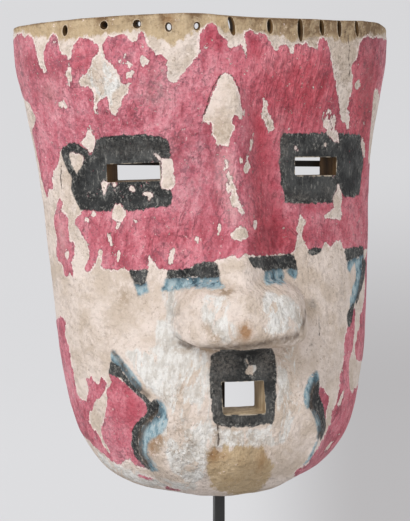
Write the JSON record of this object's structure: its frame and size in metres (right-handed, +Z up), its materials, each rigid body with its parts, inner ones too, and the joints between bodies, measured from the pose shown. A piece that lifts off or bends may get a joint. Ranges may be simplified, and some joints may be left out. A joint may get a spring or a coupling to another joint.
{
  "type": "wooden mask",
  "caption": "Carved and painted wooden face mask with a blunt nose, square eye and mouth openings and a holed rim, on a steel display stand.",
  "frame": {"origin": "centre of the underside of the stand's foot, straight below the rod", "axes": "+Z up, the mask faces -Y, +X to the right of someone facing the mask"},
  "size_m": [0.233, 0.1583, 0.3636],
  "materials": {
    "painted_wood": "worn matt paint over white ground on wood",
    "stand_steel": "satin black"
  },
  "bodies": {
    "root": {"mask": "painted_wood", "stand_rod": "stand_steel", "stand_foot": "stand_steel"}
  },
  "joints": []
}
